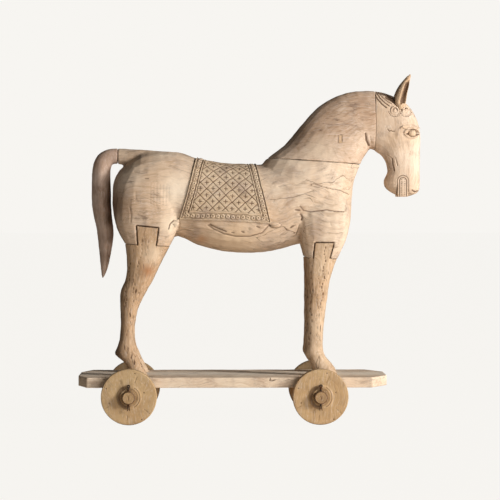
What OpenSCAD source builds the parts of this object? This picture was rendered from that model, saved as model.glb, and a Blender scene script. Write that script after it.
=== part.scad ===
// Carved wooden horse on a wheeled board.
// +X is the way the horse faces, +Y its left side, +Z up.
// The origin is on the ground, under the middle of the whole object. Millimetres.

/* [Board] */
// Length of the board
board_len = 674; // [640:2:700]
// Width of the board
board_w = 200; // [190:2:210]
// Thickness of the board
board_t = 22; // [18:1:28]
// Length of the cut corners at the front end
front_corner = 36; // [20:2:50]
// Length of the cut corners at the rear end
rear_corner = 21; // [10:1:40]
// How far each cut corner runs across the board
corner_w = 52; // [30:2:60]

/* [Wheels] */
// Diameter of a wheel
wheel_d = 120; // [110:2:130]
// Thickness of a wheel
wheel_t = 22; // [18:1:24]
// Diameter of the raised boss round the hub
boss_d = 52; // [46:2:60]
// Height of the boss
boss_h = 2; // [1:0.5:3]
// Distance from the rear axle to the front axle
wheel_base = 412; // [408:2:416]
// Place of the rear axle along the board
rear_axle_x = -263; // [-265:1:-261]

/* [Axles] */
// Diameter of a journal, the turned end of an axle
axle_d = 28; // [26:1:29]
// Radial clearance of a wheel on its journal
running_gap = 0.08; // [0.05:0.01:0.1]
// Height of the square part of an axle
beam_h = 36; // [32:1:38]
// Width of the square part of an axle
beam_w = 30; // [29:1:30]
// Diameter of the split pins' wire pair
split_pin_d = 3.6; // [3:0.2:4]
// Outer diameter of a washer
washer_d = 37; // [34:1:40]
// Thickness of a washer
washer_t = 2.5; // [2:0.25:3]

/* [Joints of the carving] */
// Height of the glue line between the two body blocks
body_seam_z = 489; // [480:1:498]
// Depth at which the floor of a leg's lap joint lies, from the middle plane
lap_y = 50; // [46:1:56]
// Diameter of the dowels under the neck
neck_dowel_d = 16; // [12:1:18]
// Diameter of the dowels behind the head
head_dowel_d = 14; // [10:1:16]
// Diameter of the dowels in the tail and the hooves
small_dowel_d = 12; // [8:1:12]

/* [Hidden] */

RIGHT = -1;
LEFT = 1;
SIDES = [RIGHT, LEFT];

// The board and what carries it
board_x = -376;                      // rear end
axle_z = wheel_d / 2;
board_z = axle_z + beam_h / 2;       // underside
board_top = board_z + board_t;
front_axle_x = rear_axle_x + wheel_base;
beam_end = board_w / 2 + 3;
wheel_in = beam_end + 1;             // inner face of a wheel
boss_y = wheel_in + wheel_t + boss_h;
washer_y = boss_y + 0.3;
split_pin_y = washer_y + washer_t + 1 + split_pin_d / 2;
journal_end = split_pin_y + 7.5;
edge = 1.5;                          // small chamfer on wheels and journals

// Screws
shank_d = 5;
screw_head_d = 9;
screw_head_h = 3;
screw_fit = 0.05;
hoof_screw_len = 36;
axle_screw_len = 50;
axle_screw_ys = [-82, 0, 82];

// Places of the feet
rear_leg_y = 47;
front_leg_y = 46;
rear_screw_x = rear_axle_x + 20;
front_screw_x = front_axle_x + 24;
rear_dowel_x = rear_axle_x + 5;
front_dowel_x = front_axle_x + 2;
hoof_dowel_low = board_z + 8;
hoof_dowel_len = 30;

// Dowels of the carving: [x, z] of the lower or rear end, and length
neck_dowel_at = [[112, 530], [188, 530]];
neck_dowel_len = 76;
head_dowel_at = [[246, 645], [246, 688]];
head_dowel_len = 58;
tail_dowel_at = [-312, 580];
tail_dowel_len = 40;

// The neck's glue line falls a little towards the chest: [x, z] of two points on it
neck_seam = [[45, 575], [242, 562]];
head_seam_x = 275;
tail_seam_x = -292;
rump_top = 556;                      // the rump passes under the tail up to here
// The shoulders of the leg joints, each a line in the side view: [x, z] of its ends
rear_shoulder = [[-274, 388], [-178, 382]];
front_shoulder = [[119, 358], [189, 355]];
flank_x = -160;                      // the rear shoulder's cut goes no further forward
elbow_x = 60;                        // the front shoulder's cut goes no further back
// Outlines of the legs' tongues, [x, z], narrower at the bottom on the front side
rear_lap = [[-248, 428], [-200, 423], [-206, 380], [-245, 380]];
front_lap = [[139, 391], [181, 391], [170, 350], [135, 350]];
// Wooden plug in the right side of the neck: [x, z, length along x, height]
plug = [193, 608, 6, 17];
plug_in = 26;                        // how near its inner end comes to the middle plane
far = 400;                           // larger than any block of the carving

// The carving is drawn with ribs, as a boat is. A rib is one line across the side view, from
// [x1, z1] to [x2, z2], with a half width, a squareness (2 is an ellipse) and an egg factor
// (how much wider it is near its second end): [x1, z1, x2, z2, half_width, squareness, egg].
// Each form's ribs are in order along it, so that their first ends lie to the left of its way.
BARREL = [
  [-303, 506, -303, 472, 22, 2.2, 0],
  [-300, 526, -300, 445, 46, 2.2, 0],
  [-289, 548, -289, 414, 62, 2.2, 0],
  [-270, 565, -270, 390, 73, 2.3, 0],
  [-240, 587, -240, 384, 79, 2.3, 0],
  [-200, 594, -200, 388, 79, 2.3, 0],
  [-160, 591, -160, 404, 73, 2.3, 0.02],
  [-118, 575, -118, 385, 73, 2.3, 0.05],
  [-62, 563, -62, 371, 76, 2.3, 0.07],
  [0, 561, 0, 367, 77, 2.3, 0.07],
  [50, 564, 50, 371, 75, 2.3, 0.04],
  [100, 570, 100, 385, 73, 2.3, 0],
  [150, 570, 150, 396, 69, 2.3, 0],
  [190, 560, 190, 402, 57, 2.2, 0],
  [210, 535, 210, 416, 40, 2.1, 0],
  [218, 500, 218, 450, 16, 2, 0],
];
NECK = [
  [52, 398, 209, 396, 44, 2.2, 0],
  [22, 440, 221, 432, 63, 2.2, 0],
  [10, 490, 224, 484, 69, 2.2, 0],
  [14, 537, 229, 526, 66, 2.2, 0],
  [33, 572, 243, 560, 59, 2.2, 0.05],
  [74, 603, 247, 571, 53, 2.2, 0.12],
  [110, 646, 253, 580, 47, 2.2, 0.18],
  [149, 688, 258, 588, 42, 2.2, 0.2],
  [190, 713, 263, 595, 38, 2.2, 0.2],
  [232, 724, 269, 595, 35, 2.2, 0.16],
  [275, 724, 276, 591, 34, 2.2, 0.08],
  [300, 719, 283, 587, 34, 2.2, 0.05],
];
HEAD = [
  [262, 725, 269, 595, 34, 2.2, 0.1],
  [275, 724, 276, 591, 34, 2.2, 0.08],
  [299, 719, 282, 587, 36, 2.3, 0.04],
  [325, 708, 287, 584, 38, 2.3, 0],
  [346, 695, 291, 580, 39, 2.3, -0.04],
  [363, 672, 294, 576, 39, 2.3, -0.06],
  [373, 645, 297, 571, 37, 2.3, -0.04],
  [376, 618, 300, 564, 33, 2.3, 0],
  [375, 592, 302, 554, 29, 2.3, 0],
  [375, 568, 303, 546, 26.5, 2.3, 0],
  [375, 545, 300, 538, 26, 2.3, 0],
  [375, 525, 295, 527, 26.5, 2.3, 0],
  [374, 508, 297, 513, 25, 2.3, 0],
  [367, 498, 308, 502, 20, 2.2, 0],
  [350, 492, 326, 493, 10, 2, 0],
];
HAUNCH = [
  [-273, 379, -182, 373, 28, 2.4, 0],
  [-274, 388, -178, 382, 29, 2.4, 0],
  [-287, 410, -165, 407, 33, 2.4, 0],
  [-296, 436, -156, 438, 37, 2.4, 0],
  [-296, 474, -157, 480, 37, 2.3, 0],
  [-286, 520, -166, 524, 30, 2.2, 0],
  [-262, 556, -186, 556, 16, 2, 0],
];
SHOULDER = [
  [120, 350, 187, 347, 26, 2.4, 0],
  [119, 357, 189, 354, 27, 2.4, 0],
  [111, 388, 208, 393, 30.5, 2.4, 0],
  [103, 424, 217, 430, 32, 2.3, 0],
  [100, 462, 215, 466, 27, 2.2, 0],
  [112, 500, 200, 504, 14, 2, 0],
];
REAR_LEG = [
  [-271, 100, -224, 100, 23.5, 2.3, 0],
  [-270, 109, -229, 109, 22, 2.3, 0],
  [-270, 119, -235, 120, 19.5, 2.3, 0],
  [-278, 131, -242, 134, 17.5, 2.2, 0],
  [-296, 146, -249, 150, 19, 2.2, 0],
  [-294, 158, -253, 160, 18.5, 2.2, 0],
  [-287, 178, -256, 178, 17, 2.2, 0],
  [-284, 206, -256, 206, 16.5, 2.2, 0],
  [-284, 240, -250, 240, 17.5, 2.2, 0],
  [-285, 264, -239, 264, 19, 2.2, 0],
  [-283, 287, -227, 287, 21, 2.2, 0],
  [-274, 307, -215, 307, 23, 2.2, 0],
  [-270, 334, -203, 333, 25, 2.3, 0],
  [-271, 362, -190, 359, 27.5, 2.4, 0],
  [-274, 388, -178, 382, 29, 2.4, 0],
];
FRONT_LEG = [
  [139, 100, 190, 100, 23.5, 2.3, 0],
  [138, 108, 188, 108, 22.5, 2.3, 0],
  [135, 118, 183, 119, 20, 2.3, 0],
  [128, 130, 171, 132, 18, 2.2, 0],
  [118, 146, 161, 147, 19, 2.2, 0],
  [119, 160, 158, 160, 18.5, 2.2, 0],
  [121, 195, 159, 195, 18, 2.2, 0],
  [121, 230, 162, 230, 19.5, 2.2, 0],
  [121, 266, 167, 266, 21.5, 2.2, 0],
  [121, 306, 173, 306, 23, 2.3, 0],
  [120, 336, 181, 334, 25, 2.4, 0],
  [119, 358, 189, 355, 27, 2.4, 0],
];
TAIL = [
  [-327, 312, -324, 312, 2, 1.4, 0],
  [-329, 325, -317, 325, 6, 1.4, 0],
  [-331, 345, -311, 345, 11, 1.4, 0],
  [-334, 375, -305, 375, 15, 1.4, 0],
  [-336, 396, -302, 396, 17.5, 1.4, 0],
  [-339, 418, -301, 416, 19.5, 1.4, 0],
  [-344, 442, -304, 440, 21, 1.4, 0],
  [-349, 472, -306, 470, 22, 1.4, 0],
  [-350, 505, -307, 505, 21.5, 1.5, 0],
  [-349, 538, -308, 534, 20, 1.6, 0],
  [-346, 563, -308, 548, 18, 1.8, 0],
  [-336, 583, -306, 556, 16.5, 2.1, 0],
  [-320, 593, -304, 561, 16, 2.2, 0],
  [-304, 597, -299, 563, 15.5, 2.2, 0],
  [-285, 597, -285, 563, 15, 2.2, 0],
];
DOCK = [
  [-298, 597, -298, 563, 15.5, 2.2, 0],
  [-282, 597, -282, 561, 16, 2.2, 0],
  [-258, 598, -258, 556, 20, 2.2, 0],
  [-226, 598, -226, 550, 28, 2.2, 0],
  [-190, 596, -190, 545, 36, 2.2, 0],
  [-155, 587, -155, 545, 30, 2.2, 0],
];
EAR = [
  [319, 684, 340, 681, 8.5, 2, 0],
  [317, 697, 341, 694, 9.5, 2, 0],
  [318, 710, 343, 706, 9.5, 2, 0],
  [323, 724, 345, 720, 8.5, 2, 0],
  [330, 737, 348, 733, 6.5, 2, 0],
  [339, 748, 350, 745, 4, 2, 0],
  [346, 756, 352, 754, 2.2, 2, 0],
  [350, 760, 352, 759, 1, 2, 0],
];
EAR_HOLLOW = [
  [329, 697, 338, 695, 6, 2, 0],
  [327, 704, 342, 701, 7, 2, 0],
  [330, 718, 345, 714, 6, 2, 0],
  [337, 733, 349, 729, 4, 2, 0],
  [345, 746, 351, 743, 1.5, 2, 0],
];
ear_y = 24;
ear_hollow_out = 7;                  // the hollow faces outwards from the head

BODY_SIDES = 24;
LIMB_SIDES = 16;

function power(v, e) = sign(v) * pow(abs(v), e);

// A smooth curve through b and c, with a before them and d after them
function between(a, b, c, d, t) =
  0.5 * (2 * b + (c - a) * t + (2 * a - 5 * b + 4 * c - d) * t * t
         + (3 * b - a - 3 * c + d) * t * t * t);

// The ribs with more ribs fitted smoothly between them
function faired(ribs, steps) =
  let (last = len(ribs) - 1)
  concat(
    [for (i = [0 : last - 1], k = [0 : steps - 1])
      between(ribs[max(i - 1, 0)], ribs[i], ribs[i + 1], ribs[min(i + 2, last)], k / steps)],
    [ribs[last]]
  );

function rib_ring(rib, y, sides) =
  let (mid = [rib[0] + rib[2], rib[1] + rib[3]] / 2)
  let (half = [rib[2] - rib[0], rib[3] - rib[1]] / 2)
  [for (j = [0 : sides - 1])
    let (c = power(cos(360 * j / sides), 2 / rib[5]))
    let (s = power(sin(360 * j / sides), 2 / rib[5]))
    [mid[0] + half[0] * c, y + rib[4] * (1 + rib[6] * c) * s, mid[1] + half[1] * c]];

// A closed skin over the ribs, with its middle plane at y
module skin(ribs, y, sides, steps) {
  rings = faired(ribs, steps);
  top = len(rings) - 1;
  polyhedron(
    points = [for (rib = rings) each rib_ring(rib, y, sides)],
    faces = concat(
      [[for (j = [0 : sides - 1]) j]],
      [[for (j = [sides - 1 : -1 : 0]) top * sides + j]],
      [for (i = [0 : top - 1], j = [0 : sides - 1], half = [0, 1])
        let (k = (j + 1) % sides)
        half == 0
          ? [i * sides + j, (i + 1) * sides + j, (i + 1) * sides + k]
          : [i * sides + j, (i + 1) * sides + k, i * sides + k]]
    )
  );
}

module barrel_form() { skin(BARREL, 0, BODY_SIDES, 2); }
module neck_form() { skin(NECK, 0, BODY_SIDES, 2); }
module head_form() { skin(HEAD, 0, BODY_SIDES, 2); }
module haunch_form(side) { skin(HAUNCH, side * rear_leg_y, LIMB_SIDES, 2); }
module shoulder_form(side) { skin(SHOULDER, side * front_leg_y, LIMB_SIDES, 2); }
module ear_form(side) { skin(EAR, side * ear_y, LIMB_SIDES, 2); }

// The whole trunk, before it is cut into its blocks
module trunk_form() {
  union() {
    barrel_form();
    neck_form();
    skin(DOCK, 0, LIMB_SIDES, 2);
    for (side = SIDES) {
      haunch_form(side);
      shoulder_form(side);
    }
  }
}

// A side-view outline, [x, z] points, drawn out from y_in to y_out
module side_prism(outline, y_in, y_out) {
  translate([0, max(y_in, y_out), 0])
    rotate([90, 0, 0])
      linear_extrude(abs(y_out - y_in))
        polygon(outline);
}

// The height of a side-view line at x
function height_at(line, x) =
  line[0][1] + (line[1][1] - line[0][1]) * (x - line[0][0]) / (line[1][0] - line[0][0]);

// All that lies under a side-view line, from x_low to x_high
module under(line, x_low, x_high) {
  side_prism(
    [[x_low, 0], [x_high, 0], [x_high, height_at(line, x_high)], [x_low, height_at(line, x_low)]],
    -far / 2, far / 2
  );
}

module lap_prism(outline, side) {
  side_prism(outline, side * lap_y, side * far / 4);
}

module neck_dowel_rods() {
  for (at = neck_dowel_at)
    translate([at[0], 0, at[1]]) cylinder(h = neck_dowel_len, d = neck_dowel_d, $fn = 48);
}

module head_dowel_rods() {
  for (at = head_dowel_at)
    translate([at[0], 0, at[1]])
      rotate([0, 90, 0]) cylinder(h = head_dowel_len, d = head_dowel_d, $fn = 48);
}

module tail_dowel_rod() {
  translate([tail_dowel_at[0], 0, tail_dowel_at[1]])
    rotate([0, 90, 0]) cylinder(h = tail_dowel_len, d = small_dowel_d, $fn = 48);
}

module hoof_dowel_rods() {
  for (side = SIDES) {
    translate([rear_dowel_x, side * rear_leg_y, hoof_dowel_low])
      cylinder(h = hoof_dowel_len, d = small_dowel_d, $fn = 48);
    translate([front_dowel_x, side * front_leg_y, hoof_dowel_low])
      cylinder(h = hoof_dowel_len, d = small_dowel_d, $fn = 48);
  }
}

// A countersunk wood screw, head down. grown is the clearance of the hole it makes.
module wood_screw(length, grown) {
  rotate_extrude($fn = 32)
    polygon([
      [0, 0],
      [screw_head_d / 2 + grown, 0],
      [shank_d / 2 + grown, screw_head_h],
      [shank_d / 2 + grown, length - 3],
      [0, length + grown],
    ]);
}

module hoof_screw_set(grown) {
  for (side = SIDES) {
    translate([rear_screw_x, side * rear_leg_y, board_z]) wood_screw(hoof_screw_len, grown);
    translate([front_screw_x, side * front_leg_y, board_z]) wood_screw(hoof_screw_len, grown);
  }
}

module axle_screw_set(grown) {
  for (x = [rear_axle_x, front_axle_x], y = axle_screw_ys)
    translate([x, y, board_z - beam_h]) wood_screw(axle_screw_len, grown);
}

module base_board() {
  half = board_w / 2;
  low = board_x;
  high = board_x + board_len;
  right = [
    [low + rear_corner, -half], [high - front_corner, -half], [high, corner_w - half],
  ];
  left = [
    [high, half - corner_w], [high - front_corner, half], [low + rear_corner, half],
  ];
  color("burlywood")
    difference() {
      translate([0, 0, board_z])
        linear_extrude(board_t)
          polygon(concat([[low, corner_w - half]], right, left, [[low, half - corner_w]]));
      hoof_dowel_rods();
      hoof_screw_set(screw_fit);
      axle_screw_set(screw_fit);
    }
}

// A square beam under the board, with a turned journal at each end
module axle(x) {
  journal_r = axle_d / 2;
  color("tan")
    difference() {
      union() {
        translate([x - beam_w / 2, -beam_end, board_z - beam_h])
          cube([beam_w, 2 * beam_end, beam_h]);
        for (side = SIDES)
          translate([x, side * (beam_end - 1), axle_z])
            rotate([-90 * side, 0, 0])
              rotate_extrude($fn = 96)
                polygon([
                  [0, 0],
                  [journal_r, 0],
                  [journal_r, journal_end - beam_end + 1 - edge],
                  [journal_r - edge, journal_end - beam_end + 1],
                  [0, journal_end - beam_end + 1],
                ]);
      }
      for (side = SIDES)
        translate([x, side * split_pin_y, axle_z - axle_d])
          cylinder(h = 2 * axle_d, d = split_pin_d + 0.3, $fn = 24);
      axle_screw_set(screw_fit);
    }
}

module wheel(x, side) {
  wheel_r = wheel_d / 2;
  bore_r = axle_d / 2 + running_gap;
  color("burlywood")
    translate([x, side * wheel_in, axle_z])
      rotate([-90 * side, 0, 0])
        rotate_extrude($fn = 160)
          polygon([
            [bore_r, 0],
            [wheel_r - edge, 0],
            [wheel_r, edge],
            [wheel_r, wheel_t - edge],
            [wheel_r - edge, wheel_t],
            [boss_d / 2 + 1, wheel_t],
            [boss_d / 2 - 1, wheel_t + boss_h],
            [bore_r, wheel_t + boss_h],
          ]);
}

// Wooden rings between the wheels and the split pins
module axle_washers() {
  color("tan")
    for (x = [rear_axle_x, front_axle_x], side = SIDES)
      translate([x, side * washer_y, axle_z])
        rotate([-90 * side, 0, 0])
          difference() {
            cylinder(h = washer_t, d = washer_d, $fn = 96);
            translate([0, 0, -1]) cylinder(h = washer_t + 2, d = axle_d + 0.4, $fn = 96);
          }
}

// A split pin: a round shaft, an eye above the journal, and two legs spread below it
module split_pin() {
  shaft_top = 22;
  split_z = -17;
  leg_len = 12;
  leg_d = split_pin_d / 2 - 0.1;
  eye_r = 2.6;
  wire_r = 1.2;
  union() {
    translate([0, 0, split_z])
      cylinder(h = shaft_top - split_z, d = split_pin_d, $fn = 24);
    translate([0, 0, shaft_top + eye_r])
      rotate([90, 0, 0])
        rotate_extrude($fn = 32) translate([eye_r, 0]) circle(r = wire_r, $fn = 16);
    for (lean = [-9, 9])
      translate([sign(lean) * leg_d / 2, 0, split_z + 1])
        rotate([180, -lean, 0]) cylinder(h = leg_len, d = leg_d, $fn = 16);
  }
}

module split_pins() {
  color("dimgray")
    for (x = [rear_axle_x, front_axle_x], side = SIDES)
      translate([x, side * split_pin_y, axle_z]) split_pin();
}

module axle_screws() { color("silver") axle_screw_set(0); }
module hoof_screws() { color("silver") hoof_screw_set(0); }
module hoof_dowels() { color("wheat") hoof_dowel_rods(); }
module neck_dowels() { color("wheat") neck_dowel_rods(); }
module head_dowels() { color("wheat") head_dowel_rods(); }
module tail_dowel() { color("wheat") tail_dowel_rod(); }

// The tongue at the top of a leg fills its lap in the body, flush with the carved surface
module leg(ribs, y, lap, side) {
  color("tan")
    difference() {
      union() {
        skin(ribs, side * y, LIMB_SIDES, 2);
        intersection() {
          children();
          lap_prism(lap, side);
        }
      }
      hoof_dowel_rods();
      hoof_screw_set(screw_fit);
    }
}

module leg_rear(side) {
  leg(REAR_LEG, rear_leg_y, rear_lap, side) haunch_form(side);
}

module leg_front(side) {
  leg(FRONT_LEG, front_leg_y, front_lap, side) shoulder_form(side);
}

module body_lower() {
  color("wheat")
    difference() {
      trunk_form();
      translate([-far, -far / 2, body_seam_z]) cube([2 * far, far, far]);
      under(rear_shoulder, -far, flank_x);
      under(front_shoulder, elbow_x, far);
      for (side = SIDES) {
        lap_prism(rear_lap, side);
        lap_prism(front_lap, side);
      }
    }
}

module body_upper() {
  color("wheat")
    difference() {
      intersection() {
        trunk_form();
        union() {
          under(neck_seam, tail_seam_x, far);
          translate([-far, -far / 2, 0]) cube([far, far, rump_top]);
        }
      }
      translate([-far, -far / 2, 0]) cube([2 * far, far, body_seam_z]);
      neck_dowel_rods();
      tail_dowel_rod();
    }
}

module plug_form() {
  intersection() {
    neck_form();
    translate([plug[0], -far / 2, plug[1]])
      cube([plug[2], far / 2 - plug_in, plug[3]]);
  }
}

module neck_plug() { color("tan") plug_form(); }

module neck() {
  color("wheat")
    difference() {
      intersection() {
        neck_form();
        translate([-far, -far / 2, 0]) cube([far + head_seam_x, far, 2 * far]);
      }
      under(neck_seam, -far, far);
      neck_dowel_rods();
      head_dowel_rods();
      plug_form();
    }
}

module head() {
  color("wheat")
    difference() {
      head_form();
      translate([0, -far / 2, 0]) cube([head_seam_x, far, 2 * far]);
      head_dowel_rods();
      for (side = SIDES)
        ear_form(side);
    }
}

module ear(side) {
  color("tan")
    difference() {
      ear_form(side);
      skin(EAR_HOLLOW, side * (ear_y + ear_hollow_out), LIMB_SIDES, 2);
    }
}

module tail() {
  color("rosybrown")
    difference() {
      intersection() {
        skin(TAIL, 0, LIMB_SIDES, 2);
        translate([-far, -far / 2, 0]) cube([far + tail_seam_x, far, 2 * far]);
      }
      tail_dowel_rod();
    }
}

base_board();
axle(front_axle_x);  // front_axle
axle(rear_axle_x);  // rear_axle
wheel(front_axle_x, RIGHT);  // wheel_front_right
wheel(front_axle_x, LEFT);  // wheel_front_left
wheel(rear_axle_x, RIGHT);  // wheel_rear_right
wheel(rear_axle_x, LEFT);  // wheel_rear_left
axle_washers();
split_pins();
axle_screws();
hoof_screws();
hoof_dowels();
leg_front(RIGHT);  // leg_front_right
leg_front(LEFT);  // leg_front_left
leg_rear(RIGHT);  // leg_rear_right
leg_rear(LEFT);  // leg_rear_left
body_lower();
body_upper();
neck();
neck_dowels();
neck_plug();
head();
head_dowels();
ear(RIGHT);  // ear_right
ear(LEFT);  // ear_left
tail();
tail_dowel();
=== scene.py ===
import bpy
import math
from contextlib import contextmanager
from mathutils import Matrix, Vector
from mathutils.bvhtree import BVHTree


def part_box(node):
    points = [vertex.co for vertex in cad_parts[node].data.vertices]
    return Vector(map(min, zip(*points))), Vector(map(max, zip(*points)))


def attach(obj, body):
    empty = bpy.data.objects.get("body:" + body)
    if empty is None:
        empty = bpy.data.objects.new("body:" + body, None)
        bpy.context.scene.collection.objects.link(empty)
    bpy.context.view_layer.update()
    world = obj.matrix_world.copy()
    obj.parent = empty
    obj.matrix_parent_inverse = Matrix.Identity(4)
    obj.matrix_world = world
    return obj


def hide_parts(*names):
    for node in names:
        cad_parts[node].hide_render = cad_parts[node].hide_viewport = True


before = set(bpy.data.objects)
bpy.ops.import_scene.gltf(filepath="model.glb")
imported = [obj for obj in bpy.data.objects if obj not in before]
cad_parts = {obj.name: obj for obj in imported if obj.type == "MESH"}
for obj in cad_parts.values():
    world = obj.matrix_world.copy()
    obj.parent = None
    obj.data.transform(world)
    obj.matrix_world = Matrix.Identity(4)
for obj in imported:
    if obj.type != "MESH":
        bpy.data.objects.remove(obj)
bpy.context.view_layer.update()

HORSE = "horse_on_board"
MM = 0.001
RIGHT = -1
LEFT = 1
SIDES = {"right": RIGHT, "left": LEFT}
UP = 1
DOWN = -1
WELL_OUT = 300        # millimetres to the side, clear of every piece
SAME_POINT = 0.01     # millimetres, within which loose corners are one


# ---------------------------------------------------------------- bench tools

def metres(values):
    return [value * MM for value in values]


def radians(degrees):
    return [math.radians(value) for value in degrees]


def middle(node):
    """The middle of a CAD node's box, in millimetres."""
    low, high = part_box(node)
    return (Vector(low) + Vector(high)) / 2 / MM


def fresh():
    """Deselects everything, as before a new primitive is added."""
    if bpy.context.object and bpy.context.object.mode != "OBJECT":
        bpy.ops.object.mode_set(mode="OBJECT")
    bpy.ops.object.select_all(action="DESELECT")


def only(*objects):
    """Selects these objects alone, with the first one active."""
    fresh()
    for obj in objects:
        obj.select_set(True)
    bpy.context.view_layer.objects.active = objects[0]


@contextmanager
def editing(obj):
    """Edit mode with the whole mesh selected, for as long as the with block lasts."""
    only(obj)
    bpy.ops.object.mode_set(mode="EDIT")
    bpy.ops.mesh.select_all(action="SELECT")
    yield
    bpy.ops.object.mode_set(mode="OBJECT")


def settle(obj):
    """Puts the object's place, turn and size into its mesh."""
    only(obj)
    bpy.ops.object.transform_apply(location=True, rotation=True, scale=True)
    return obj


def named(name):
    """Names the object that was added last, and its mesh."""
    obj = bpy.context.object
    obj.name = name
    obj.data.name = name
    return obj


def ball(centre, size, turn=(0, 0, 0), segments=24):
    """A ball pulled out to an egg: centre and half sizes in millimetres, turn in degrees."""
    fresh()
    bpy.ops.mesh.primitive_uv_sphere_add(
        segments=segments, ring_count=segments // 2, radius=1,
        location=metres(centre), rotation=radians(turn), scale=metres(size),
    )
    return settle(named("egg"))


def block(centre, size, bevel):
    """A square block with its edges eased: centre and sizes in millimetres."""
    fresh()
    bpy.ops.mesh.primitive_cube_add(size=1, location=metres(centre), scale=metres(size))
    cube = settle(named("block"))
    with editing(cube):
        bpy.ops.mesh.bevel(offset=bevel * MM, segments=2, affect="EDGES")
    return cube


def disc(centre, radius, thickness):
    """A flat round disc lying across Y."""
    fresh()
    bpy.ops.mesh.primitive_cylinder_add(
        vertices=40, radius=radius * MM, depth=thickness * MM,
        location=metres(centre), rotation=radians((90, 0, 0)),
    )
    return settle(named("disc"))


def hoop(centre, radius, wire, turn, segments=40):
    """A ring of round wire, lying across Y when it is turned by 90 about X."""
    fresh()
    bpy.ops.mesh.primitive_torus_add(
        major_segments=segments, minor_segments=10,
        major_radius=radius * MM, minor_radius=wire * MM,
        location=metres(centre), rotation=radians(turn),
    )
    return settle(named("hoop"))


def saw(obj, height, outwards):
    """Saws a solid through level at a height and closes the cut. UP or DOWN is what goes."""
    with editing(obj):
        bpy.ops.mesh.bisect(
            plane_co=(0, 0, height * MM), plane_no=(0, 0, outwards),
            use_fill=True, clear_outer=True,
        )
    return obj


def modify(obj, kind, **settings):
    """Adds a modifier and applies it at once."""
    only(obj)
    modifier = obj.modifiers.new(kind.title(), kind)
    for key, value in settings.items():
        setattr(modifier, key, value)
    bpy.ops.object.modifier_apply(modifier=modifier.name)
    return obj


def join(first, *others):
    """Makes the objects one, which keeps the first one's name."""
    only(first, *others)
    bpy.ops.object.join()
    return first


def cut(obj, *tools):
    """Cuts the tools' shapes out of the object one by one and removes the tools."""
    for tool in tools:
        modify(obj, "BOOLEAN", operation="DIFFERENCE", object=tool, solver="EXACT")
        bpy.data.objects.remove(tool)
    return obj


class Surface:
    """Where a block's skin lies, for setting details on it."""

    def __init__(self, obj):
        self.tree = BVHTree.FromObject(obj, bpy.context.evaluated_depsgraph_get())

    def cast(self, x, z, side):
        """The skin's point and normal where a line from well out on that side meets it."""
        start = Vector(metres((x, side * WELL_OUT, z)))
        return self.tree.ray_cast(start, Vector((0, -side, 0)))[:2]

    def at(self, x, z, side, sunk=0.0):
        """The point of the skin at x and z on that side, sunk some millimetres into it."""
        point, _ = self.cast(x, z, side)
        return (x, point.y / MM - side * sunk, z)

    def facing(self, x, z, side):
        """How far the skin is turned about Z there, away from facing straight sideways."""
        _, normal = self.cast(x, z, side)
        return -side * math.degrees(math.atan2(normal.x, abs(normal.y)))


def copy_of_node(node, name):
    """A block starts from its CAD node's own shape, with the loose triangles merged."""
    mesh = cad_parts[node].data.copy()
    mesh.materials.clear()
    obj = bpy.data.objects.new(name, mesh)
    bpy.context.collection.objects.link(obj)
    with editing(obj):
        bpy.ops.mesh.remove_doubles(threshold=SAME_POINT * MM)
    return obj


def hand_texture(name, kind, size):
    """A soft random pattern for tool marks, its size in millimetres."""
    texture = bpy.data.textures.new(name, kind)
    texture.noise_scale = size * MM
    return texture


STRAY = hand_texture("stray", "CLOUDS", 60)
GOUGE = hand_texture("gouge", "VORONOI", 18)


def carve(obj, grid, rounding=3, wander=1.2, gouges=0.5):
    """Turns what has been put together into one carved skin with a hand-worked surface.

    grid is the spacing of the new mesh, rounding how often its edges are smoothed, wander
    how far broad surfaces stray, and gouges the depth of the tool marks, in millimetres.
    """
    modify(obj, "REMESH", mode="VOXEL", voxel_size=grid * MM, use_smooth_shade=True)
    if rounding:
        modify(obj, "SMOOTH", factor=0.5, iterations=rounding)
    if wander:
        modify(obj, "DISPLACE", texture=STRAY, texture_coords="GLOBAL",
               strength=wander * MM, mid_level=0.5)
    if gouges:
        modify(obj, "DISPLACE", texture=GOUGE, texture_coords="GLOBAL",
               strength=-gouges * MM, mid_level=0.4)
    return obj


GROOVE = "groove"     # the attribute that is 1 in the bottoms of engraved lines
CELL = 6              # millimetres, the search grid that sorts a skin's points for engraving


FACING = 0.1          # how far skin has to face a side for that side's lines to reach it


def cell(measure):
    return int(measure // CELL)


def across_groove(distance, half_width):
    """1 on a groove's line, falling to 0 at its edges."""
    return max(0.0, 1.0 - (distance / half_width) ** 2) if distance < half_width else 0.0


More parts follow.
